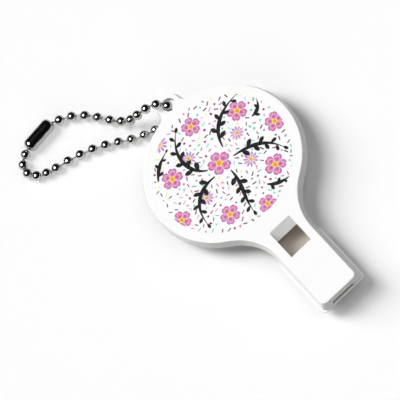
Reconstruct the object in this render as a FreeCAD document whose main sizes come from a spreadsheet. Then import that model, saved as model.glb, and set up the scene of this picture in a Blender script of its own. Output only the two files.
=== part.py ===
import FreeCAD, Part
import math
import os
import Sketcher
from FreeCAD import Placement, Rotation, Vector

# A flat mouth whistle with a round face for a printed badge, on a loop of ball chain.
# The frame is in millimetres: +Z is up, the mouth end points to -Y, the chain's ear to +Y,
# and the origin is under the middle of the round face, on the plane that the whistle lies on.

doc = FreeCAD.newDocument("training_whistle")
sizes = doc.addObject("Spreadsheet::Sheet", "sizes")

DRIVING_SIZES = {
    # round face and neck
    "disc_radius": 23.7,
    "face_level": 6.6,
    "face_shell_depth": 1.4,
    "backing_depth": 0.9,
    "draft_slope": 0.34,
    "edge_round": 0.25,
    "neck_radius": 18.0,
    # mouthpiece
    "mouth_width": 12.5,
    "mouth_length": 21.05,
    "mouth_depth": 3.2,
    "mouth_corner": 1.6,
    "end_slope": 0.075,
    "lip_start": 0.45,
    "lip_step": 0.45,
    "lip_thickness": 0.5,
    # sound window, counted from where the mouthpiece's straight sides begin
    "window_width": 7.4,
    "window_start": 3.0,
    "window_length": 7.7,
    "ramp_length": 2.7,
    "ramp_drop": 1.9,
    "blade_thickness": 0.25,
    "blade_root": 5.0,
    # wind way
    "windway_width": 7.6,
    "windway_roof": 2.0,
    "windway_rise": 0.5,
    "windway_entry_gap": 0.95,
    "windway_exit_gap": 0.8,
    "block_clearance": 0.08,
    # sound chamber
    "chamber_wall": 1.0,
    "chamber_floor": 0.9,
    "chamber_set_back": 3.2,
    "chamber_foot_round": 1.0,
    # locating pegs
    "peg_radius": 0.8,
    "peg_height": 0.8,
    "peg_clearance": 0.06,
    "peg_circle": 17.5,
    # chain ear
    "ear_radius": 3.4,
    "ear_thickness": 2.0,
    "ear_blend": 2.8,
    "ear_hole_radius": 2.05,
    "cover_hole_margin": 0.3,
    # ball chain
    "bead_radius": 1.45,
    "bead_wall": 0.12,
    "bead_gap": 1.15,
    "link_radius": 0.25,
    "link_clearance": 0.15,
    "link_catch": 0.04,
    "link_reach": 0.4,
    "crest_gap": 0.14,
    # chain connector
    "connector_radius": 2.05,
    "connector_length": 10.2,
    "connector_wall": 0.25,
    "connector_mouth_radius": 0.85,
    "connector_slit": 0.7,
    "connector_end_round": 1.55,
    "end_bead_inset": 1.55,
}

for row, (alias, value) in enumerate(DRIVING_SIZES.items(), start=1):
    sizes.set(f"A{row}", alias)
    sizes.set(f"B{row}", str(value))
    sizes.setAlias(f"B{row}", alias)
doc.recompute()


def size(alias):
    """The value of one cell, for what is worked out in Python."""
    return float(sizes.get(alias))


def value_of(expression):
    """The value of an expression in which <name> stands for a cell."""
    for alias in DRIVING_SIZES:
        expression = expression.replace(f"<{alias}>", f"sizes.{alias}")
    return float(sizes.evalExpression(expression))


def bind(item, **expressions):
    """Tie an object's properties to the sheet: X, Y and Z stand for its place."""
    for name, expression in expressions.items():
        path = f"Placement.Base.{name.lower()}" if name in ("X", "Y", "Z") else name
        for alias in sorted(DRIVING_SIZES, key=len, reverse=True):
            expression = expression.replace(f"<{alias}>", f"sizes.{alias}")
        item.setExpression(path, expression)
    return item


def add(kind, label, **expressions):
    """A new primitive with its sizes and place tied to the sheet."""
    item = doc.addObject(f"Part::{kind}", label)
    item.Label = label
    return bind(item, **expressions)


def fuse(label, *shapes):
    """One solid made of several that overlap."""
    item = doc.addObject("Part::MultiFuse", label)
    item.Label = label
    item.Shapes = list(shapes)
    item.Refine = True
    return item


def cut(label, base, *tools):
    """The base with every tool taken away."""
    tool = tools[0] if len(tools) == 1 else fuse(f"{label}_tools", *tools)
    item = doc.addObject("Part::Cut", label)
    item.Label = label
    item.Base = base
    item.Tool = tool
    item.Refine = True
    return item


def round_edges(label, base, chosen, alias):
    """Round the edges that chosen picks, with a radius from the sheet."""
    doc.recompute()
    picked = [i for i, edge in enumerate(base.Shape.Edges, start=1) if chosen(edge)]
    item = doc.addObject("Part::Fillet", label)
    item.Label = label
    item.Base = base
    item.Edges = [(i, size(alias), size(alias)) for i in picked]
    return item


# ---------------------------------------------------------------- shared outline
# Both shells follow one outline: the round face, a neck whose two hollow curves are tangent to
# the circle and to the straight sides, and the mouthpiece. The ear joins the face in the same
# way. Every side wall leans out as it goes down, by draft_slope, so that it leaves its mould,
# and the mouth end by the much smaller end_slope.

NECK_X = "(<mouth_width> / 2 + <neck_radius>)"
NECK_Y = f"sqrt((<disc_radius> + <neck_radius>)^2 - {NECK_X}^2)"
MOUTH_Y = f"({NECK_Y} + <mouth_length>)"
WINDOW_Y = f"({NECK_Y} + <window_start>)"
BLADE_Y = f"({WINDOW_Y} - <window_length>)"
EAR_Y = "sqrt((<disc_radius> + <ear_blend>)^2 - (<ear_radius> + <ear_blend>)^2)"
SHELL_FOOT = "<face_shell_depth>"
COVER_FOOT = "(<face_shell_depth> + <backing_depth>)"
RAIL_FLARE = "<mouth_depth> * <draft_slope>"
END_FLARE = "<mouth_depth> * <end_slope>"


def tangent_web(label, toward, half_width, radius, top_depth, bottom_depth):
    """What joins a straight-sided arm to the round face, with a hollow curve on each side."""
    top, bottom = value_of(top_depth), value_of(bottom_depth)
    flare = bottom * size("draft_slope")
    centre_x = value_of(f"{half_width} + {radius}")
    reach = size("disc_radius") + value_of(radius)
    centre_y = toward * math.sqrt(reach**2 - centre_x**2)
    share = (size("disc_radius") + flare) / reach
    shoulder = Vector(centre_x * share, centre_y * share, 0)
    side = Vector(value_of(half_width) + flare, centre_y, 0)
    corners = [Vector(), shoulder, side, Vector(-side.x, side.y, 0), Vector(-shoulder.x, shoulder.y, 0)]
    web = doc.addObject("Part::Feature", f"{label}_web")
    web.Shape = Part.Face(Part.makePolygon(corners + corners[:1])).extrude(Vector(0, 0, bottom - top))
    web.Placement = Placement(Vector(0, 0, size("face_level") - bottom), Rotation())
    curves = []
    for side_name, sign in (("left", -1), ("right", 1)):
        curves.append(
            add(
                "Cone",
                f"{label}_{side_name}_curve",
                Radius1=f"{radius} - {bottom_depth} * <draft_slope>",
                Radius2=f"{radius} - {top_depth} * <draft_slope>",
                Height=f"{bottom_depth} - {top_depth}",
                X=f"{sign} * ({half_width} + {radius})",
                Y=f"{toward} * sqrt((<disc_radius> + {radius})^2 - ({half_width} + {radius})^2)",
                Z=f"<face_level> - {bottom_depth}",
            )
        )
    return cut(label, web, *curves)


def round_face(label, top_depth, bottom_depth):
    """The drafted disc between two depths below the face."""
    return add(
        "Cone",
        label,
        Radius1=f"<disc_radius> + {bottom_depth} * <draft_slope>",
        Radius2=f"<disc_radius> + {top_depth} * <draft_slope>",
        Height=f"{bottom_depth} - {top_depth}",
        Z=f"<face_level> - {bottom_depth}",
    )


# ---------------------------------------------------------------- front shell
# One moulding: the face, the neck, the mouthpiece's roof and side rails, the sound window with
# its blade, and the ear with the hole for the chain.

mouth_block = add(
    "Wedge",
    "mouth_block",
    Xmin=f"-<mouth_width> / 2 - {RAIL_FLARE}",
    Xmax=f"<mouth_width> / 2 + {RAIL_FLARE}",
    X2min="-<mouth_width> / 2",
    X2max="<mouth_width> / 2",
    Ymin="0",
    Ymax="<mouth_depth>",
    Zmin=NECK_Y,
    Zmax=f"{MOUTH_Y} + {END_FLARE}",
    Z2min=NECK_Y,
    Z2max=MOUTH_Y,
)
mouth_block.Placement = Placement(Vector(), Rotation(Vector(1, 0, 0), 90))
bind(mouth_block, Z="<face_level> - <mouth_depth>")


def is_mouth_corner(edge):
    """The two slanting edges at the mouth end."""
    ends = [vertex.Point for vertex in edge.Vertexes]
    beyond = all(end.y < 0.01 - value_of(MOUTH_Y) for end in ends)
    return beyond and abs(ends[0].z - ends[-1].z) > size("mouth_depth") / 2


mouth_body = round_edges("mouth_body", mouth_block, is_mouth_corner, "mouth_corner")
ear_boss = add(
    "Cone",
    "ear_boss",
    Radius1="<ear_radius> + <ear_thickness> * <draft_slope>",
    Radius2="<ear_radius>",
    Height="<ear_thickness>",
    Y=EAR_Y,
    Z="<face_level> - <ear_thickness>",
)
ear_web = tangent_web("ear", 1, "<ear_radius>", "<ear_blend>", "0", "<ear_thickness>")
blade = add(
    "Box",
    "blade",
    Length="<windway_width> - 2 * <block_clearance>",
    Width="<blade_root>",
    Height="<ramp_drop> + <blade_thickness> - <face_shell_depth> / 2",
    X="-<windway_width> / 2 + <block_clearance>",
    Y=f"-{BLADE_Y}",
    Z="<face_level> - <ramp_drop> - <blade_thickness>",
)
shell_outline = fuse(
    "shell_outline",
    round_face("face_disc", "0", SHELL_FOOT),
    tangent_web("face_neck", -1, "<mouth_width> / 2", "<neck_radius>", "0", SHELL_FOOT),
    mouth_body,
    ear_boss,
    ear_web,
    blade,
)


def is_rim(edge):
    """The outer edge of the face, all the way round."""
    return all(abs(vertex.Point.z - size("face_level")) < 1e-4 for vertex in edge.Vertexes)


rounded_outline = round_edges("rounded_outline", shell_outline, is_rim, "edge_round")

window_hole = add(
    "Box",
    "window_hole",
    Length="<window_width>",
    Width="<window_length>",
    Height="2 * <face_level>",
    X="-<window_width> / 2",
    Y=f"-{WINDOW_Y}",
)
blade_ramp = add(
    "Wedge",
    "blade_ramp",
    Xmin="-<window_width> / 2",
    Xmax="<window_width> / 2",
    X2min="-<window_width> / 2",
    X2max="<window_width> / 2",
    Ymin=f"-{BLADE_Y}",
    Ymax=f"-{BLADE_Y} + <ramp_length>",
    Zmin="<face_level> - <ramp_drop>",
    Zmax="2 * <face_level>",
    Z2min="<face_level>",
    Z2max="2 * <face_level>",
)
windway = add(
    "Wedge",
    "windway",
    Xmin="-<windway_width> / 2",
    Xmax="<windway_width> / 2",
    X2min="-<windway_width> / 2",
    X2max="<windway_width> / 2",
    Ymin=f"-{MOUTH_Y} - <mouth_depth>",
    Ymax=f"-{WINDOW_Y}",
    Zmin="0",
    Zmax="<face_level> - <windway_roof>",
    Z2min="0",
    Z2max="<face_level> - <windway_roof> + <windway_rise>",
)
under_window = add(
    "Box",
    "under_window",
    Length="<windway_width>",
    Width="<window_length>",
    Height="<face_level> - <face_shell_depth>",
    X="-<windway_width> / 2",
    Y=f"-{WINDOW_Y}",
)
ear_hole = add("Cylinder", "ear_hole", Radius="<ear_hole_radius>", Height="2 * <face_level>", Y=EAR_Y)
PEG_ANGLES = (50, 130, 205, 335)


def peg_ring(label, radius, height, drop):
    """Four upright cylinders on the peg circle, from a drop below the shell's foot."""
    ring = []
    for number, angle in enumerate(PEG_ANGLES, start=1):
        ring.append(
            add(
                "Cylinder",
                f"{label}_{number}",
                Radius=radius,
                Height=f"{height} + {drop}",
                X=f"<peg_circle> * cos({angle})",
                Y=f"<peg_circle> * sin({angle})",
                Z=f"<face_level> - <face_shell_depth> - {drop}",
            )
        )
    return ring


HALF_BACKING = "<backing_depth> / 2"
SOCKET_RADIUS = "<peg_radius> + <peg_clearance>"
SOCKET_HEIGHT = "(<peg_height> + <peg_clearance>)"
sockets = peg_ring("socket", SOCKET_RADIUS, SOCKET_HEIGHT, HALF_BACKING)
cut("front_shell", rounded_outline, window_hole, blade_ramp, windway, under_window, ear_hole, *sockets)

# ---------------------------------------------------------------- back cover
# The second moulding: a backing disc and neck, the lip plate under the mouthpiece, and the deep
# tray of the sound chamber, which is what the whistle lies on. Four pegs locate it.

lip_block = add(
    "Box",
    "lip_block",
    Length=f"<mouth_width> + 2 * ({RAIL_FLARE} + <lip_step>)",
    Width=f"<mouth_length> + {END_FLARE} + <lip_step> / 2 - <lip_start>",
    Height="<lip_thickness>",
    X=f"-<mouth_width> / 2 - {RAIL_FLARE} - <lip_step>",
    Y=f"-{MOUTH_Y} - {END_FLARE} - <lip_step> / 2",
    Z="<face_level> - <mouth_depth> - <lip_thickness>",
)


def is_lip_corner(edge):
    """The two upright edges of the lip at the mouth end."""
    ends = [vertex.Point for vertex in edge.Vertexes]
    return all(end.y < -value_of(MOUTH_Y) for end in ends) and abs(ends[0].z - ends[-1].z) > 0.01


lip_plate = round_edges("lip_plate", lip_block, is_lip_corner, "mouth_corner")
TRAY_HALF = "(<windway_width> / 2 + <chamber_wall>)"
tray_run = add(
    "Box",
    "tray_run",
    Length=f"2 * {TRAY_HALF}",
    Width=f"{MOUTH_Y} - <chamber_set_back>",
    Height="<face_level> - <face_shell_depth>",
    X=f"-{TRAY_HALF}",
    Y=f"-{MOUTH_Y} + <chamber_set_back>",
)
tray_end = add("Cylinder", "tray_end", Radius=TRAY_HALF, Height="<face_level> - <face_shell_depth>")
tray_block = fuse("tray_block", tray_run, tray_end)


def is_tray_foot(edge):
    """The edges round the tray's underside."""
    return all(abs(vertex.Point.z) < 1e-4 for vertex in edge.Vertexes)


tray = round_edges("tray", tray_block, is_tray_foot, "chamber_foot_round")
cover_outline = fuse(
    "cover_outline",
    round_face("backing_disc", SHELL_FOOT, COVER_FOOT),
    tangent_web("backing_neck", -1, "<mouth_width> / 2", "<neck_radius>", SHELL_FOOT, COVER_FOOT),
    lip_plate,
    tray,
    *peg_ring("peg", "<peg_radius>", "<peg_height>", HALF_BACKING),
)
rail_seat = add(
    "Box",
    "rail_seat",
    Length="2 * <mouth_width>",
    Width="2 * <mouth_length>",
    Height="<mouth_depth>",
    X="-<mouth_width>",
    Y=f"-{NECK_Y} - 2 * <mouth_length>",
    Z="<face_level> - <mouth_depth>",
)
chamber_run = add(
    "Box",
    "chamber_run",
    Length="<windway_width>",
    Width=f"{MOUTH_Y} - <chamber_set_back> - <chamber_wall>",
    Height="<face_level>",
    X="-<windway_width> / 2",
    Y=f"-{MOUTH_Y} + <chamber_set_back> + <chamber_wall>",
    Z="<chamber_floor>",
)
chamber_end = add(
    "Cylinder",
    "chamber_end",
    Radius="<windway_width> / 2",
    Height="<face_level>",
    Z="<chamber_floor>",
)
chain_relief = add(
    "Cylinder",
    "chain_relief",
    Radius="<ear_hole_radius> + <cover_hole_margin>",
    Height="<face_level>",
    Y=EAR_Y,
)
cut("back_cover", cover_outline, rail_seat, chamber_run, chamber_end, chain_relief, ear_boss, ear_web)

# ---------------------------------------------------------------- wind way block
# A loose insert pressed into the tray: its sloping top is the floor of the wind way, which
# narrows and rises towards the blade.


def new_sketch(body, name, plane_role):
    """A sketch on one of the body's own origin planes."""
    sketch = body.newObject("Sketcher::SketchObject", name)
    plane = [feature for feature in body.Origin.OriginFeatures if feature.Role == plane_role][0]
    sketch.AttachmentSupport = [(plane, "")]
    sketch.MapMode = "FlatFace"
    return sketch


def draw_polygon(sketch, points):
    """A closed outline of straight lines with each corner tied to the sheet."""
    corners = [Vector(value_of(across), value_of(up), 0) for across, up in points]
    for start, end in zip(corners, corners[1:] + corners[:1]):
        sketch.addGeometry(Part.LineSegment(start, end), False)
    for index, (across, up) in enumerate(points):
        following = (index + 1) % len(points)
        sketch.addConstraint(Sketcher.Constraint("Coincident", index, 2, following, 1))
        for kind, expression in (("DistanceX", across), ("DistanceY", up)):
            place = Sketcher.Constraint(kind, -1, 1, index, 1, value_of(expression))
            tied = sketch.addConstraint(place)
            bind(sketch, **{f"Constraints[{tied}]": expression})


SEAT_LEVEL = "<face_level> - <mouth_depth>"
TRAY_INNER = f"-{MOUTH_Y} + <chamber_set_back> + <chamber_wall> + <block_clearance>"
ENTRY_DEPTH = "(<windway_roof> + <windway_entry_gap>)"
EXIT_LEVEL = "<face_level> - <windway_roof> + <windway_rise> - <windway_exit_gap>"
block = doc.addObject("PartDesign::Body", "windway_block")
block.Label = "windway_block"
block_side = new_sketch(block, "block_side", "YZ_Plane")
draw_polygon(
    block_side,
    [
        (f"-{MOUTH_Y} - {END_FLARE}", SEAT_LEVEL),
        (TRAY_INNER, SEAT_LEVEL),
        (TRAY_INNER, "<chamber_floor>"),
        (f"-{WINDOW_Y}", "<chamber_floor>"),
        (f"-{WINDOW_Y}", EXIT_LEVEL),
        (f"-{MOUTH_Y} - {ENTRY_DEPTH} * <end_slope>", f"<face_level> - {ENTRY_DEPTH}"),
    ],
)
block_pad = block.newObject("PartDesign::Pad", "block_pad")
block_pad.Profile = block_side
block_pad.Midplane = True
bind(block_pad, Length="<windway_width> - 2 * <block_clearance>")

# ---------------------------------------------------------------- chain route
# The chain is one loop. From the closed end of its connector it lies on the table, climbs over
# the ear, drops through the hole, and comes back under the ear to the connector's snap end.
# The route's points are counted in pitches of the taut chain from the middle of the hole, and
# their height is a share of the way up from lying flat to lying on the ear.

ROUTE = (
    (-6.35, 5.85, 0.0),
    (-4.86, 4.74, 0.0),
    (-3.86, 3.23, 0.0),
    (-3.27, 2.30, 0.11),
    (-2.71, 1.65, 0.32),
    (-2.12, 1.18, 0.68),
    (-1.42, 0.85, 0.95),
    (-0.62, 0.47, 1.0),
    (-0.21, 0.18, 0.83),
    (-0.13, -0.09, 0.43),
    (-0.84, -0.20, 0.03),
    (-1.75, -0.06, 0.0),
    (-3.47, 0.68, 0.0),
    (-5.07, 1.77, 0.0),
    (-6.80, 2.62, 0.0),
    (-8.68, 3.17, 0.0),
    (-9.51, 3.42, 0.0),
    (-10.12, 3.80, 0.0),
    (-10.50, 4.47, 0.0),
    (-10.31, 5.24, 0.0),
    (-9.67, 5.72, 0.0),
)
CONNECTOR_PLACE = (-8.1, 6.0)
CONNECTOR_TURN = 185.8
# how far each stretch of links is pulled out, as a share of the taut pitch
STRETCHES = ((2, 0.93), (4, 0.99), (3, 0.92), (2, 0.84), (4, 0.85), (7, 0.97), (4, 0.76), (2, 0.80))

HOLE_RADIUS = "<link_radius> + <link_clearance>"
INNER_RADIUS = "<bead_radius> - <bead_wall>"
outer_rim = value_of(f"sqrt(<bead_radius>^2 - ({HOLE_RADIUS})^2)")
inner_rim = value_of(f"sqrt(({INNER_RADIUS})^2 - ({HOLE_RADIUS})^2)")
# from a bead's centre to the middle of its hole's wall
hole_reach = (outer_rim + inner_rim) / 2
taut_pitch = value_of("2 * <bead_radius> + <bead_gap>")
link_span = taut_pitch - 2 * hole_reach + 2 * size("link_reach")

ear_middle = Vector(0, value_of(EAR_Y), 0)
lying = size("bead_radius")
crest = value_of("<face_level> + <bead_radius> + <crest_gap>")
connector_way = Rotation(Vector(0, 0, 1), CONNECTOR_TURN).multVec(Vector(1, 0, 0))
connector_middle = ear_middle + Vector(*CONNECTOR_PLACE, 0) * taut_pitch
connector_middle.z = size("connector_radius")
ball_offset = connector_way * (size("connector_length") / 2 - size("end_bead_inset"))


def bead_centres():
    """Bead centres along a smooth line through the route, from one end ball to the other."""
    points = [connector_middle - ball_offset]
    for across, away, rise in ROUTE:
        place = ear_middle + Vector(across, away, 0) * taut_pitch
        points.append(Vector(place.x, place.y, lying + rise * (crest - lying)))
    points.append(connector_middle + ball_offset)
    line = Part.BSplineCurve()
    line.interpolate(points)
    route = line.toShape()
    steps = [share for count, share in STRETCHES for _ in range(count)]
    travelled, centres = 0.0, [points[0]]
    for step in steps[:-1]:
        travelled += step * route.Length / sum(steps)
        centre = route.valueAt(route.getParameterByLength(travelled))
        centres.append(Vector(centre.x, centre.y, max(centre.z, lying)))
    return centres + [points[-1]]


def bead_axes():
    """Each bead's own axis, halfway between the ways to its two neighbours.

    A ball inside the connector takes the connector's own way for that of its second neighbour.
    """
    ways = [(after - before).normalize() for before, after in zip(centres, centres[1:])]
    between = [(before + after).normalize() for before, after in zip(ways, ways[1:])]
    return [(ways[0] - connector_way).normalize()] + between + [(ways[-1] - connector_way).normalize()]


centres = bead_centres()
axes = bead_axes()


def place_along(item, place, way):
    """Put an upright primitive at a place, pointing along a way."""
    item.Placement = Placement(place, Rotation(Vector(0, 0, 1), way))
    return item


def hollow_bead(label, number):
    """A thin rolled ball with a hole at each end of its axis."""
    ball = add("Sphere", f"{label}_ball", Radius="<bead_radius>")
    hollow = add("Sphere", f"{label}_hollow", Radius=INNER_RADIUS)
    hole = add("Cylinder", f"{label}_hole", Radius=HOLE_RADIUS, Height="4 * <bead_radius>")
    place_along(ball, centres[number], axes[number])
    place_along(hollow, centres[number], axes[number])
    place_along(hole, centres[number] - axes[number] * (2 * size("bead_radius")), axes[number])
    return cut(label, ball, hollow, hole)


def dumbbell(label, number):
    """A link from one bead to the next: a short wire with a ball at each end."""
    start = centres[number] + axes[number] * hole_reach
    end = centres[number + 1] - axes[number + 1] * hole_reach
    way = (end - start).normalize()
    heads = [(start + end) / 2 - way * (link_span / 2), (start + end) / 2 + way * (link_span / 2)]
    wire = add("Cylinder", f"{label}_wire", Radius="<link_radius>")
    wire.Height = link_span
    pieces = [place_along(wire, heads[0], way)]
    for name, head in zip(("first", "second"), heads):
        knob = add("Sphere", f"{label}_{name}_head", Radius=f"{HOLE_RADIUS} + <link_catch>")
        pieces.append(place_along(knob, head, way))
    return fuse(label, *pieces)


# ---------------------------------------------------------------- ball chain
last = len(centres) - 1
for number in range(1, last):
    hollow_bead(f"chain_bead_{number:02d}", number)
for number in range(last):
    dumbbell(f"chain_link_{number + 1:02d}", number)

# ---------------------------------------------------------------- chain connector
# A rolled sleeve with a ball of the chain inside each end. The slit along its underside is
# where the last ball is pushed in and out.

end_pair = doc.addObject("Part::Compound", "connector_end_beads")
end_pair.Label = "connector_end_beads"
end_pair.Links = [hollow_bead("fixed_end_ball", 0), hollow_bead("snap_end_ball", last)]

connector = doc.addObject("PartDesign::Body", "chain_connector")
connector.Label = "chain_connector"


def mouth_reach(radius, half_length, end_round, mouth_radius):
    """How far along its axis a skin of the sleeve reaches at the rim of its mouth."""
    return half_length - end_round + math.sqrt(end_round**2 - (mouth_radius - radius + end_round) ** 2)


def sleeve_line(radius, half_length, end_round, mouth_radius):
    """One skin of the sleeve's half section: straight, and turned in at each end to the mouth."""
    flat = half_length - end_round
    lip = radius - end_round
    reach = mouth_reach(radius, half_length, end_round, mouth_radius)
    half_way = (math.asin((mouth_radius - lip) / end_round) + math.pi / 2) / 2
    pieces = []
    for side in (1, -1):
        mouth = Vector(side * reach, mouth_radius, 0)
        along = flat + end_round * math.cos(half_way)
        on_bend = Vector(side * along, lip + end_round * math.sin(half_way), 0)
        pieces.append(Part.Arc(mouth, on_bend, Vector(side * flat, radius, 0)))
    return pieces + [Part.LineSegment(Vector(flat, radius, 0), Vector(-flat, radius, 0))]


sleeve_half = size("connector_length") / 2
wall = size("connector_wall")
end_round = size("connector_end_round")
outer_skin = (size("connector_radius"), sleeve_half, end_round, size("connector_mouth_radius"))
inner_skin = (outer_skin[0] - wall, sleeve_half - wall, end_round - wall, outer_skin[3])
sleeve_section = new_sketch(connector, "sleeve_section", "XZ_Plane")
for skin in (outer_skin, inner_skin):
    for piece in sleeve_line(*skin):
        sleeve_section.addGeometry(piece, False)
for side in (1, -1):
    outer_rim = Vector(side * mouth_reach(*outer_skin), size("connector_mouth_radius"), 0)
    inner_rim = Vector(side * mouth_reach(*inner_skin), size("connector_mouth_radius"), 0)
    sleeve_section.addGeometry(Part.LineSegment(outer_rim, inner_rim), False)
sleeve = connector.newObject("PartDesign::Revolution", "sleeve")
sleeve.Profile = sleeve_section
sleeve.ReferenceAxis = (sleeve_section, ["H_Axis"])
sleeve.Angle = 360
doc.recompute()
sleeve_volume = sleeve.Shape.Volume

slit_outline = new_sketch(connector, "slit_outline", "XY_Plane")
draw_polygon(
    slit_outline,
    [
        ("-<connector_length>", "-<connector_slit> / 2"),
        ("<connector_length>", "-<connector_slit> / 2"),
        ("<connector_length>", "<connector_slit> / 2"),
        ("-<connector_length>", "<connector_slit> / 2"),
    ],
)
slit = connector.newObject("PartDesign::Pocket", "slit")
slit.Profile = slit_outline
bind(slit, Length="2 * <connector_radius>")
connector.Placement = Placement(connector_middle, Rotation(Vector(0, 0, 1), CONNECTOR_TURN))
doc.recompute()
if not 0.8 * sleeve_volume < slit.Shape.Volume < 0.99 * sleeve_volume:
    raise RuntimeError("the slit didn't cut the sleeve")

# ---------------------------------------------------------------- checks and export
nodes = ["front_shell", "back_cover", "windway_block", "chain_connector", "connector_end_beads"]
nodes += [f"chain_bead_{number:02d}" for number in range(1, last)]
nodes += [f"chain_link_{number:02d}" for number in range(1, last + 1)]
for item in doc.Objects:
    if any(word in item.State for word in ("Invalid", "Error")):
        raise RuntimeError(f"{item.Label} failed to build")
os.makedirs("parts", exist_ok=True)
for node in nodes:
    shape = doc.getObjectsByLabel(node)[0].Shape
    if shape.isNull() or not shape.isValid():
        raise RuntimeError(f"{node} has no valid shape")
    shape.exportStep(f"parts/{node}.step")
    print(node, len(shape.Solids), round(shape.Volume, 3))
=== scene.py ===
import math
import random

import bmesh
import bpy
from mathutils import Matrix, Vector


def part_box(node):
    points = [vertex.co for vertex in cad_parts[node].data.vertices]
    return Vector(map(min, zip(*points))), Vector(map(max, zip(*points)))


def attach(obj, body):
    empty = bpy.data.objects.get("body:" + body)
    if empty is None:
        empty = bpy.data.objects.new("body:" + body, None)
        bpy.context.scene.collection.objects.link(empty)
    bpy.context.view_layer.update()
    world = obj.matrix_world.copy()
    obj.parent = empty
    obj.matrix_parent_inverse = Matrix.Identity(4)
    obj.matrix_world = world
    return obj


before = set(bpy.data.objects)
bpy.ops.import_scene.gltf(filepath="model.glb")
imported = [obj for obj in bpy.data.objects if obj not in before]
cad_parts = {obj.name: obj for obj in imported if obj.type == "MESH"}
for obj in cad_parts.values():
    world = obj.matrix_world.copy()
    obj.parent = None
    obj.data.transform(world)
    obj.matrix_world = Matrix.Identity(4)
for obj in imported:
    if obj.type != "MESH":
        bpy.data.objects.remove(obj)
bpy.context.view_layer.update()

# ---------------------------------------------------------------- moulded body
# A flat round whistle of three injection mouldings in white styrene: the printed front shell, the
# backing welded into it and the block that makes the windway. What faces up is painted whiter, as
# painted light from above; the window's ramp keeps its cutter lines, and the air way is painted in shade.
FACE_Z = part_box("front_shell")[1].z

# the bare plastic: how much darker its cloudy spots are, its shine and its orange peel
CLOUD_SHADE = (0.985, 0.985, 0.98)
CLOUD_SCALE = 60
PLASTIC_ROUGHNESS = (0.2, 0.3)
PEEL_STRENGTH = 0.12
PEEL_DEPTH = 0.00002

# the painted light from above starts and is full where a surface faces this far up, 1 being level
TOP_LIGHT_WHITE = (0.985, 0.985, 0.98, 1)
TOP_LIGHT_STARTS, TOP_LIGHT_FULL = 0.6, 0.78

# the window's ramp, told from the rest by how far it faces the ear, and its cutter lines
RAMP_FACING, RAMP_SPREAD = -0.575, 0.05
CUTTER_GREY = (0.88, 0.88, 0.87, 1)
CUTTER_LINE_SCALE = 480
CUTTER_LINE_EDGES = (0.7, 0.95)

# the air way: its middle and half its size along each axis, and its painted shade from slot to window
AIR_WAY = (("X", 0, 0.00385), ("Y", -0.0261, 0.0288), ("Z", 0.0026, 0.0019))
SLOT_Y, WINDOW_Y = -0.046, -0.0375
SLOT_SHADE = (0.2, 0.175, 0.15, 1)
WINDOW_SHADE = (0.74, 0.672, 0.6, 1)


def new_finish(name):
    """A material to build up, with its node tree and its shader."""
    finish = bpy.data.materials.new(name)
    finish.use_nodes = True
    return finish, finish.node_tree, finish.node_tree.nodes["Principled BSDF"]


def add_node(tree, kind, inputs=None, **settings):
    """A new node, whose inputs each take a value or another node's output."""
    node = tree.nodes.new(kind)
    for setting, choice in settings.items():
        setattr(node, setting, choice)
    for socket, source in (inputs or {}).items():
        if isinstance(source, bpy.types.NodeSocket):
            tree.links.new(source, node.inputs[socket])
        else:
            node.inputs[socket].default_value = source
    return node


def cloudy(tree, place, scale, detail):
    """A value that wanders between 0 and 1 over the piece."""
    inputs = {"Vector": place, "Scale": scale, "Detail": detail}
    return add_node(tree, "ShaderNodeTexNoise", inputs).outputs["Fac"]


def in_range(tree, value, low, high, start=0, end=1):
    """From start to end, as the value goes from low to high."""
    inputs = {"Value": value, "From Min": low, "From Max": high, "To Min": start, "To Max": end}
    return add_node(tree, "ShaderNodeMapRange", inputs).outputs["Result"]


def two_shades(tree, value, low, first, high, second):
    """The first colour where the value is below low, the second where it is above high."""
    shade = add_node(tree, "ShaderNodeValToRGB", {"Fac": value})
    for stop, position, colour in zip(shade.color_ramp.elements, (low, high), (first, second)):
        stop.position = position
        stop.color = (*colour, 1)
    return shade.outputs["Color"]


def laid_over(tree, cover, under, over):
    """One colour over another, where cover is 1."""
    inputs = {"Factor": cover, "A": under, "B": over}
    return add_node(tree, "ShaderNodeMix", inputs, data_type="RGBA").outputs["Result"]


def arithmetic(tree, operation, *terms):
    """What the operation makes of its terms, each a number or another node's output."""
    return add_node(tree, "ShaderNodeMath", dict(enumerate(terms)), operation=operation).outputs[0]


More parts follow.
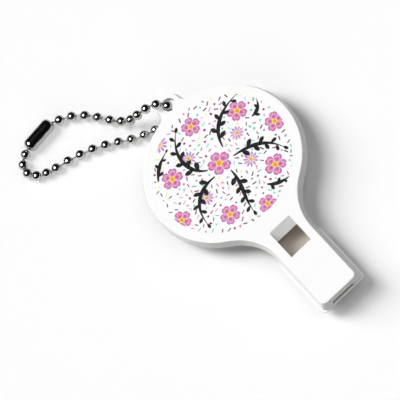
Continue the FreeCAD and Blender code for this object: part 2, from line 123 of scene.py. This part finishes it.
def white_plastic(name, tint, peel_scale):
    """White styrene with painted light on top, cutter lines on the ramp and painted shade in the air way.
    """
    finish, tree, shader = new_finish(name)
    place = add_node(tree, "ShaderNodeTexCoord").outputs["Object"]
    spot = add_node(tree, "ShaderNodeSeparateXYZ", {"Vector": place}).outputs
    surface = add_node(tree, "ShaderNodeNewGeometry").outputs["True Normal"]
    facing = add_node(tree, "ShaderNodeSeparateXYZ", {"Vector": surface}).outputs

    clouds = cloudy(tree, place, CLOUD_SCALE, 3)
    cloud_tint = [channel * shade for channel, shade in zip(tint, CLOUD_SHADE)]
    moulded = two_shades(tree, clouds, 0.3, cloud_tint, 0.7, tint)
    # upward faces are painted whiter than the walls: painted light from above
    lit_from_above = laid_over(tree, in_range(tree, facing["Z"], TOP_LIGHT_STARTS, TOP_LIGHT_FULL), moulded, TOP_LIGHT_WHITE)

    on_ramp = arithmetic(tree, "COMPARE", facing["Y"], RAMP_FACING, RAMP_SPREAD)
    cutter = {"Vector": place, "Scale": CUTTER_LINE_SCALE}
    cutter_bands = add_node(tree, "ShaderNodeTexWave", cutter, bands_direction="Y").outputs["Fac"]
    cutter_lines = in_range(tree, cutter_bands, *CUTTER_LINE_EDGES, end=on_ramp)
    lined = laid_over(tree, cutter_lines, lit_from_above, CUTTER_GREY)

    # painted shade inside the air way, darkest at the slot and warm grey-brown under the window
    across, along, upward = (
        arithmetic(tree, "COMPARE", spot[axis], middle, reach) for axis, middle, reach in AIR_WAY
    )
    shaded_inside = arithmetic(tree, "MULTIPLY", arithmetic(tree, "MULTIPLY", across, along), upward)
    air_way_shade = laid_over(tree, in_range(tree, spot["Y"], SLOT_Y, WINDOW_Y), SLOT_SHADE, WINDOW_SHADE)
    tree.links.new(laid_over(tree, shaded_inside, lined, air_way_shade), shader.inputs["Base Color"])

    shine = in_range(tree, clouds, 0, 1, *PLASTIC_ROUGHNESS)
    tree.links.new(shine, shader.inputs["Roughness"])
    peel = {
        "Strength": PEEL_STRENGTH,
        "Distance": PEEL_DEPTH,
        "Height": cloudy(tree, place, peel_scale, 2),
    }
    relief = add_node(tree, "ShaderNodeBump", peel).outputs["Normal"]
    tree.links.new(relief, shader.inputs["Normal"])
    shader.inputs["IOR"].default_value = 1.5
    shader.inputs["Specular IOR Level"].default_value = 0.4
    return finish


def dress(piece, finish):
    """Give a piece of the frame its finish."""
    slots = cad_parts[piece].data.materials
    slots.clear()
    slots.append(finish)


dress("front_shell", white_plastic("shell_white", (0.8, 0.798, 0.79), 900))
dress("back_cover", white_plastic("backing_white", (0.8, 0.796, 0.784), 700))
dress("windway_block", white_plastic("block_white", (0.84, 0.83, 0.81), 700))

# ---------------------------------------------------------------- print on the face
# The round decoration: blossoms, leafy sprigs and confetti, jetted straight onto the white face
# in thin layers of ink that lie one on another and all stop at one clean circle.
MM = 0.001
PRINT_RADIUS = 0.0208
INK_FILM = 0.000012
INK_BITE = 0.000004
POINTS_APART = 0.000004
SMALLEST_AREA = 1e-9


def held_in_round(outline):
    """The outline with whatever leaves the print circle drawn back to its edge."""
    held = []
    for x, y in outline:
        away = math.hypot(x, y)
        if away > PRINT_RADIUS:
            x, y = x * PRINT_RADIUS / away, y * PRINT_RADIUS / away
        if not held or math.hypot(x - held[-1][0], y - held[-1][1]) > POINTS_APART:
            held.append((x, y))
    while len(held) > 2 and math.hypot(held[0][0] - held[-1][0], held[0][1] - held[-1][1]) < POINTS_APART:
        held.pop()
    return held


def ink_colour(name, colour, second, grain):
    """Gloss ink that wavers a little between two shades."""
    finish, tree, shader = new_finish(name)
    place = add_node(tree, "ShaderNodeTexCoord").outputs["Object"]
    shade = two_shades(tree, cloudy(tree, place, grain, 4), 0.38, colour, 0.62, second)
    tree.links.new(shade, shader.inputs["Base Color"])
    shader.inputs["Roughness"].default_value = 0.35
    shader.inputs["Specular IOR Level"].default_value = 0.3
    return finish


def lay_ink(name, outlines, layer, finish):
    """One ink: every outline as a thin flat film, layer films above the plastic."""
    film = bmesh.new()
    low, high = FACE_Z - INK_BITE, FACE_Z + layer * INK_FILM
    for outline in outlines:
        outline = held_in_round(outline)
        if len(outline) < 3:
            continue
        area = sum(a[0] * b[1] - b[0] * a[1] for a, b in zip(outline, outline[1:] + outline[:1])) / 2
        if abs(area) < SMALLEST_AREA:
            continue
        if area < 0:
            outline.reverse()
        top = [film.verts.new((x, y, high)) for x, y in outline]
        foot = [film.verts.new((x, y, low)) for x, y in outline]
        film.faces.new(top)
        film.faces.new(foot[::-1])
        for i in range(len(outline)):
            film.faces.new((foot[i - 1], foot[i], top[i], top[i - 1]))
    mesh = bpy.data.meshes.new(name)
    film.to_mesh(mesh)
    film.free()
    mesh.materials.append(finish)
    piece = bpy.data.objects.new(name, mesh)
    bpy.context.scene.collection.objects.link(piece)
    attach(piece, "whistle")


def petal(x, y, turn, start, end, width, notch):
    """A rounded petal from start to end along its own line, dented by notch at its tip."""
    steps = 12
    late, full = 1.35, 0.75  # how far out it is widest, and how full its flanks are
    rim = []
    for i in range(steps + 1):
        share = i / steps
        along = start + (end - start) * share
        rim.append((along, width * math.sin(math.pi * share**late) ** full if 0 < share < 1 else 0))
    rim[-1] = (end - notch, 0)
    outline = rim + [(along, -across) for along, across in rim[-2:0:-1]]
    c, s = math.cos(turn), math.sin(turn)
    return [(x + c * along - s * across, y + s * along + c * across) for along, across in outline]


def petal_of(blossom, turn, shares):
    """A petal whose start, end, width and notch are shares of the blossom's radius."""
    x, y, radius = blossom
    return petal(x, y, turn, *(radius * share for share in shares))


def dot(x, y, radius, sides=14):
    """A round spot of ink."""
    return [
        (x + radius * math.cos(math.tau * i / sides), y + radius * math.sin(math.tau * i / sides))
        for i in range(sides)
    ]


# each blossom: place, size and turn in millimetres and degrees, then its kind
BLOSSOMS = (
    (-0.6, 0.8, 3.9, 12, "cherry"),
    (-13.4, 7.4, 3.5, 50, "cherry"),
    (13.0, 9.2, 3.4, 80, "cherry"),
    (-8.2, -13.6, 3.3, 20, "cherry"),
    (10.6, -11.8, 3.6, 33, "cherry"),
    (0.4, 15.6, 3.2, 0, "cherry"),
    (18.7, -1.6, 3.3, 64, "cherry"),
    (-19.2, -4.4, 3.2, 10, "cherry"),
    (1.6, -19.3, 3.0, 40, "cherry"),
    (-6.2, 8.6, 2.3, 0, "daisy"),
    (6.6, -5.2, 2.4, 9, "daisy"),
    (-9.9, -4.6, 2.3, 22, "daisy"),
    (8.7, 4.0, 2.2, 31, "daisy"),
    (-9.6, 18.4, 2.6, 5, "daisy"),
    (15.4, -17.0, 2.5, 14, "daisy"),
)
CHERRY_PETALS, DAISY_PETALS = 5, 11
# the layers of a blossom, in shares of its radius: a petal's start, end, width and notch
CHERRY_PETAL = (0.1, 1, 0.37, 0.14)
CHERRY_HEART = (0.14, 0.82, 0.25, 0.06)
DAISY_PETAL = (0.2, 1, 0.14, 0)
# each streak's lean in radians and its length, with a stamen at its tip
STREAKS = ((-0.22, 0.62), (0, 0.7), (0.22, 0.62))
STREAK_START, STREAK_WIDTH, STAMEN_SIZE = 0.2, 0.034, 0.045
EYE_SIZE, EYE_RING_SIZE = 0.27, 0.17

petals, petal_hearts, petal_streaks, daisy_petals, eyes, eye_rings, stamens = ([] for _ in range(7))
for x, y, radius, turn, kind in BLOSSOMS:
    x, y, radius, turn = x * MM, y * MM, radius * MM, math.radians(turn)
    blossom = (x, y, radius)
    if kind == "cherry":
        for i in range(CHERRY_PETALS):
            way = turn + math.tau * i / CHERRY_PETALS
            petals.append(petal_of(blossom, way, CHERRY_PETAL))
            petal_hearts.append(petal_of(blossom, way, CHERRY_HEART))
            for lean, length in STREAKS:
                reach, side = radius * length, way + lean
                petal_streaks.append(petal_of(blossom, side, (STREAK_START, length, STREAK_WIDTH, 0)))
                tip = (x + reach * math.cos(side), y + reach * math.sin(side))
                stamens.append(dot(*tip, radius * STAMEN_SIZE))
    else:
        for i in range(DAISY_PETALS):
            daisy_petals.append(petal_of(blossom, turn + math.tau * i / DAISY_PETALS, DAISY_PETAL))
    eyes.append(dot(x, y, radius * EYE_SIZE, 24))
    eye_rings.append(dot(x, y, radius * EYE_RING_SIZE, 20))

# each sprig: four points of its bent stem, then how many leaves it bears and their length
SPRIGS = (
    ((-4.4, 1.6), (-9.0, 4.6), (-9.6, 12.2), (-4.2, 17.2), 9, 3.3),
    ((3.2, 3.8), (4.2, 9.6), (9.0, 13.0), (15.6, 13.2), 8, 3.1),
    ((3.6, -0.6), (9.2, -1.6), (13.4, -3.6), (15.6, -9.2), 8, 3.2),
    ((0.4, -3.4), (0.6, -8.6), (-2.2, -12.6), (-2.6, -17.6), 8, 3.2),
    ((-4.2, -1.4), (-9.2, -0.8), (-14.2, -3.4), (-14.6, -10.6), 8, 3.1),
    ((-16.8, 9.8), (-14.8, 12.6), (-13.2, 13.8), (-10.0, 15.0), 4, 2.2),
    ((5.2, -14.6), (6.6, -16.4), (8.6, -17.6), (11.6, -17.6), 4, 2.2),
    ((15.0, 4.6), (16.6, 4.4), (18.4, 5.2), (19.2, 7.6), 3, 2.0),
)
STEM_STEPS = 36
# leaves start this far along the stem, lean out to both sides and get shorter towards its tip
FIRST_LEAF = 0.16
LEAF_LEAN = math.radians(52)
LEAF_TAPER = 0.38
LEAF_WIDTH = 0.24
# what confetti leaves free round a stem, a leaf and a blossom, in millimetres
ROOM_BY_STEM, ROOM_BY_LEAF, ROOM_BY_BLOSSOM = 1.0, 0.75, 0.5


def stem_at(stem, share):
    """A point on a stem, which bends towards its two middle points."""
    root, second, third, tip = stem
    rest = 1 - share
    return root * rest**3 + second * (3 * rest**2 * share) + third * (3 * rest * share**2) + tip * share**3


def stem_half_width(share):
    """A stem swells towards its middle and runs out thin."""
    return MM * (0.09 + 0.5 * math.sin(math.pi * (0.12 + 0.86 * share)) ** 1.6)


sprigs, kept_clear = [], []
for *points, leaves, leaf in SPRIGS:
    stem = [Vector(point) * MM for point in points]
    left, right = [], []
    for i in range(STEM_STEPS + 1):
        share = i / STEM_STEPS
        here = stem_at(stem, share)
        way = (stem_at(stem, min(share + 0.01, 1)) - stem_at(stem, max(share - 0.01, 0))).normalized()
        side = Vector((-way.y, way.x))
        half = stem_half_width(share)
        left.append(tuple(here + side * half))
        right.append(tuple(here - side * half))
        kept_clear.append((here, ROOM_BY_STEM * MM))
    sprigs.append(left + right[::-1])
    for i in range(leaves):
        share = FIRST_LEAF + (1 - FIRST_LEAF) * i / (leaves - 1)
        here = stem_at(stem, share)
        way = stem_at(stem, min(share + 0.02, 1)) - stem_at(stem, max(share - 0.02, 0))
        lean = 0 if i == leaves - 1 else LEAF_LEAN * (1 if i % 2 else -1)
        turn = math.atan2(way.y, way.x) + lean
        long = leaf * MM * (1 - LEAF_TAPER * share)
        sprigs.append(petal(here.x, here.y, turn, 0, long, long * LEAF_WIDTH, 0))
        for part in (0.35, 0.7, 1.0):
            along_leaf = Vector((math.cos(turn), math.sin(turn))) * long * part
            kept_clear.append((here + along_leaf, ROOM_BY_LEAF * MM))
for x, y, radius, turn, kind in BLOSSOMS:
    kept_clear.append((Vector((x, y)) * MM, (radius + ROOM_BY_BLOSSOM) * MM))

# confetti fills what the blossoms and sprigs leave free, the commoner colours named twice or more
CONFETTI = (
    "wine", "wine", "dark", "dark", "pink", "mint", "mint", "yellow", "lilac", "grey", "wine", "dark",
)
CONFETTI_SEED = 11
CONFETTI_TRIES = 6000
CONFETTI_REACH = 0.99
# how far bits lie apart and how big each shape is, in millimetres
CONFETTI_APART = 1.42
DOT_RADIUS = 0.33
DIAMOND_HALF_LENGTH, DIAMOND_HALF_WIDTH = 0.52, 0.4
DASH_HALF_LENGTH, DASH_HALF_WIDTH = 0.48, 0.16


def bit_outline(shape, size):
    """A dot, a diamond or a dash with round ends."""
    if shape == "dot":
        return dot(0, 0, DOT_RADIUS * size, 12)
    if shape == "diamond":
        long, wide = DIAMOND_HALF_LENGTH * size, DIAMOND_HALF_WIDTH * size
        return [(long, 0), (0, wide), (-long, 0), (0, -wide)]
    half, long = DASH_HALF_WIDTH * size, DASH_HALF_LENGTH * size
    return [
        (side * long + half * math.cos(corner), half * math.sin(corner))
        for side, first in ((1, -90), (-1, 90))
        for corner in (math.radians(first + 36 * k) for k in range(6))
    ]


scatter = random.Random(CONFETTI_SEED)
bits = {name: [] for name in CONFETTI}
taken = []
for _ in range(CONFETTI_TRIES):
    away = PRINT_RADIUS * math.sqrt(scatter.random()) * CONFETTI_REACH
    round_way = scatter.uniform(0, math.tau)
    here = Vector((away * math.cos(round_way), away * math.sin(round_way)))
    if any((here - other).length < CONFETTI_APART * MM for other in taken):
        continue
    if any((here - other).length < clear for other, clear in kept_clear):
        continue
    taken.append(here)
    colour = scatter.choice(CONFETTI)
    turn = scatter.uniform(0, math.tau)
    shape = scatter.choice(("dash", "dot", "diamond", "dash"))
    if colour == "dark":
        shape = "dash"
    outline = bit_outline(shape, scatter.uniform(0.85, 1.15) * MM)
    c, s = math.cos(turn), math.sin(turn)
    bits[colour].append([(here.x + c * x - s * y, here.y + s * x + c * y) for x, y in outline])

# each layer: its piece, outlines and height in films, then its ink, two shades and their grain
INK_LAYERS = (
    ("petals", petals, 1, "pink", (0.68, 0.11, 0.38), (0.5, 0.2, 0.56), 420),
    ("petal_hearts", petal_hearts, 2, "blush", (0.82, 0.36, 0.6), (0.68, 0.42, 0.74), 600),
    ("daisy_petals", daisy_petals, 1, "lilac", (0.5, 0.26, 0.62), (0.7, 0.34, 0.6), 500),
    ("petal_streaks", petal_streaks, 3, "magenta", (0.5, 0.008, 0.15), (0.6, 0.02, 0.22), 900),
    ("stamens", stamens, 4, "orange", (0.9, 0.42, 0.06), (0.92, 0.55, 0.08), 900),
    ("eyes", eyes, 4, "yellow", (0.92, 0.62, 0.08), (0.94, 0.72, 0.16), 900),
    ("eye_rings", eye_rings, 5, "amber", (0.82, 0.3, 0.05), (0.88, 0.42, 0.08), 900),
    ("sprigs", sprigs, 3, "black", (0.006, 0.007, 0.008), (0.012, 0.013, 0.015), 900),
    ("confetti_wine", bits["wine"], 1, "confetti_wine", (0.34, 0.006, 0.1), (0.42, 0.01, 0.16), 900),
    ("confetti_dark", bits["dark"], 1, "confetti_dark", (0.05, 0.012, 0.03), (0.09, 0.02, 0.05), 900),
    ("confetti_pink", bits["pink"], 1, "confetti_pink", (0.8, 0.2, 0.44), (0.86, 0.3, 0.52), 900),
    ("confetti_mint", bits["mint"], 1, "confetti_mint", (0.16, 0.6, 0.5), (0.3, 0.74, 0.64), 900),
    ("confetti_yellow", bits["yellow"], 1, "confetti_yellow", (0.93, 0.8, 0.28), (0.94, 0.86, 0.42), 900),
    ("confetti_lilac", bits["lilac"], 1, "confetti_lilac", (0.62, 0.44, 0.76), (0.7, 0.54, 0.82), 900),
    ("confetti_grey", bits["grey"], 1, "confetti_grey", (0.34, 0.34, 0.37), (0.44, 0.44, 0.47), 900),
)
for name, outlines, layer, ink, first, second, grain in INK_LAYERS:
    lay_ink(f"print_{name}", outlines, layer, ink_colour(f"ink_{ink}", first, second, grain))

# ---------------------------------------------------------------- ball chain
# Hollow balls rolled from nickel-plated steel strip, held by short wires with a head at each
# end, and a rolled sleeve that snaps over the two end balls. The plate is bright, with fine
# scuffs where the pieces rub on each other.
SCUFF_SCALE = 1500
SCUFF_SHADE = 0.2
SCUFF_ROUGHNESS = 0.12


def nickel(name, colour, shine, wear):
    """Bright nickel plate; wear from 0 to 1 is how far its scuffs dull it."""
    finish, tree, shader = new_finish(name)
    shader.inputs["Metallic"].default_value = 1
    place = add_node(tree, "ShaderNodeTexCoord").outputs["Object"]
    scuffs = cloudy(tree, place, SCUFF_SCALE, 4)
    scuffed = [channel * (1 - SCUFF_SHADE * wear) for channel in colour]
    tree.links.new(two_shades(tree, scuffs, 0.3, scuffed, 0.65, colour), shader.inputs["Base Color"])
    rubbed = in_range(tree, scuffs, 0.3, 0.7, shine, shine + SCUFF_ROUGHNESS * wear)
    tree.links.new(rubbed, shader.inputs["Roughness"])
    return finish


bead_nickel = nickel("bead_nickel", (0.6, 0.595, 0.585), 0.17, 0.5)
link_nickel = nickel("link_nickel", (0.36, 0.355, 0.345), 0.2, 1)
sleeve_nickel = nickel("sleeve_nickel", (0.46, 0.455, 0.445), 0.08, 0.25)
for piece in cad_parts:
    if piece.startswith("chain_link"):
        dress(piece, link_nickel)
    elif piece.startswith("chain_bead") or piece == "connector_end_beads":
        dress(piece, bead_nickel)
dress("chain_connector", sleeve_nickel)

# ---------------------------------------------------------------- table, light and camera
# A white table in a dark room. Two tall windows on the left and two white cloths light it softly,
# and one small lamp shows in the metal alone. The camera looks from nearly straight above,
# turned so that the whistle lies on the diagonal.
TABLE_HALF_WIDTH = 12
TABLE_DROP = 0.00003
TABLE_WHITE = (0.98, 0.98, 0.98, 1)
TABLE_BOUNCE = (0.5, 0.5, 0.5, 1)  # the tone in which it throws light up at the pieces
ROOM_GREY = (0.006, 0.006, 0.007, 1)

ground = bmesh.new()
bmesh.ops.create_grid(ground, x_segments=2, y_segments=2, size=TABLE_HALF_WIDTH)
table_mesh = bpy.data.meshes.new("table")
ground.to_mesh(table_mesh)
ground.free()
table = bpy.data.objects.new("table", table_mesh)
table.location.z = -TABLE_DROP
bpy.context.scene.collection.objects.link(table)
table_finish, table_tree, table_shader = new_finish("table_white")
bounced = add_node(table_tree, "ShaderNodeLightPath").outputs["Is Diffuse Ray"]
table_colour = laid_over(table_tree, bounced, TABLE_WHITE, TABLE_BOUNCE)
table_tree.links.new(table_colour, table_shader.inputs["Base Color"])
table_shader.inputs["Roughness"].default_value = 0.8
table_shader.inputs["Specular IOR Level"].default_value = 0.0
table_mesh.materials.append(table_finish)

# only the whistle stands in the low window's light, so the chain's own shadow stays short
whistle_shade = bpy.data.collections.new("whistle_shade")
for piece in ("front_shell", "back_cover", "windway_block"):
    whistle_shade.objects.link(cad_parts[piece])

# each lamp: the way towards it, its strength, and how wide it looks in degrees
LAMPS = (
    ("low_window", (-0.46, 0.74, 0.47), 1.95, 30),
    ("high_window", (-0.34, 0.54, 0.77), 1.7, 34),
    ("right_cloth", (0.56, -0.32, 0.77), 0.85, 70),
    ("left_cloth", (-0.66, -0.62, 0.42), 0.6, 45),
    ("sparkle_lamp", (-0.38, 0.13, 0.92), 2.6, 36),
)
for name, toward, strength, spread in LAMPS:
    lamp = bpy.data.lights.new(name, "SUN")
    lamp.energy = strength
    lamp.angle = math.radians(spread)
    stand = bpy.data.objects.new(name, lamp)
    stand.rotation_mode = "QUATERNION"
    stand.rotation_quaternion = Vector(toward).to_track_quat("Z", "Y")
    stand.visible_glossy = name == "sparkle_lamp"
    stand.visible_diffuse = not stand.visible_glossy
    if name == "low_window":
        stand.light_linking.blocker_collection = whistle_shade
    bpy.context.scene.collection.objects.link(stand)

room = bpy.data.worlds.new("room")
bpy.context.scene.world = room
room.use_nodes = True
room.node_tree.nodes["Background"].inputs["Color"].default_value = ROOM_GREY
room.node_tree.nodes["Background"].inputs["Strength"].default_value = 1

CAMERA_TURN = math.radians(2.2)
CAMERA_HEIGHT = math.radians(60.7)
CAMERA_ROLL = math.radians(45.16)
CAMERA_DISTANCE = 2.8
VIEW_WIDTH = 0.112
looked_at = Vector((-0.01164, -0.00359, FACE_Z))
along = Vector((-math.sin(CAMERA_TURN), math.cos(CAMERA_TURN), 0))
across = Vector((math.cos(CAMERA_TURN), math.sin(CAMERA_TURN), 0))
upright = Vector((0, 0, 1))
back = upright * math.sin(CAMERA_HEIGHT) - along * math.cos(CAMERA_HEIGHT)
rise = upright * math.cos(CAMERA_HEIGHT) + along * math.sin(CAMERA_HEIGHT)
image_right = across * math.cos(CAMERA_ROLL) - rise * math.sin(CAMERA_ROLL)
image_up = across * math.sin(CAMERA_ROLL) + rise * math.cos(CAMERA_ROLL)
camera_data = bpy.data.cameras.new("camera")
camera_data.sensor_width = 36
camera_data.lens = camera_data.sensor_width * CAMERA_DISTANCE / VIEW_WIDTH
camera_data.clip_start = 0.1
camera_data.clip_end = 20
camera = bpy.data.objects.new("camera", camera_data)
camera.matrix_world = Matrix.Translation(looked_at + back * CAMERA_DISTANCE) @ Matrix(
    (image_right, image_up, back)
).transposed().to_4x4()
bpy.context.scene.collection.objects.link(camera)
bpy.context.scene.camera = camera
bpy.context.scene.view_settings.view_transform = "Standard"
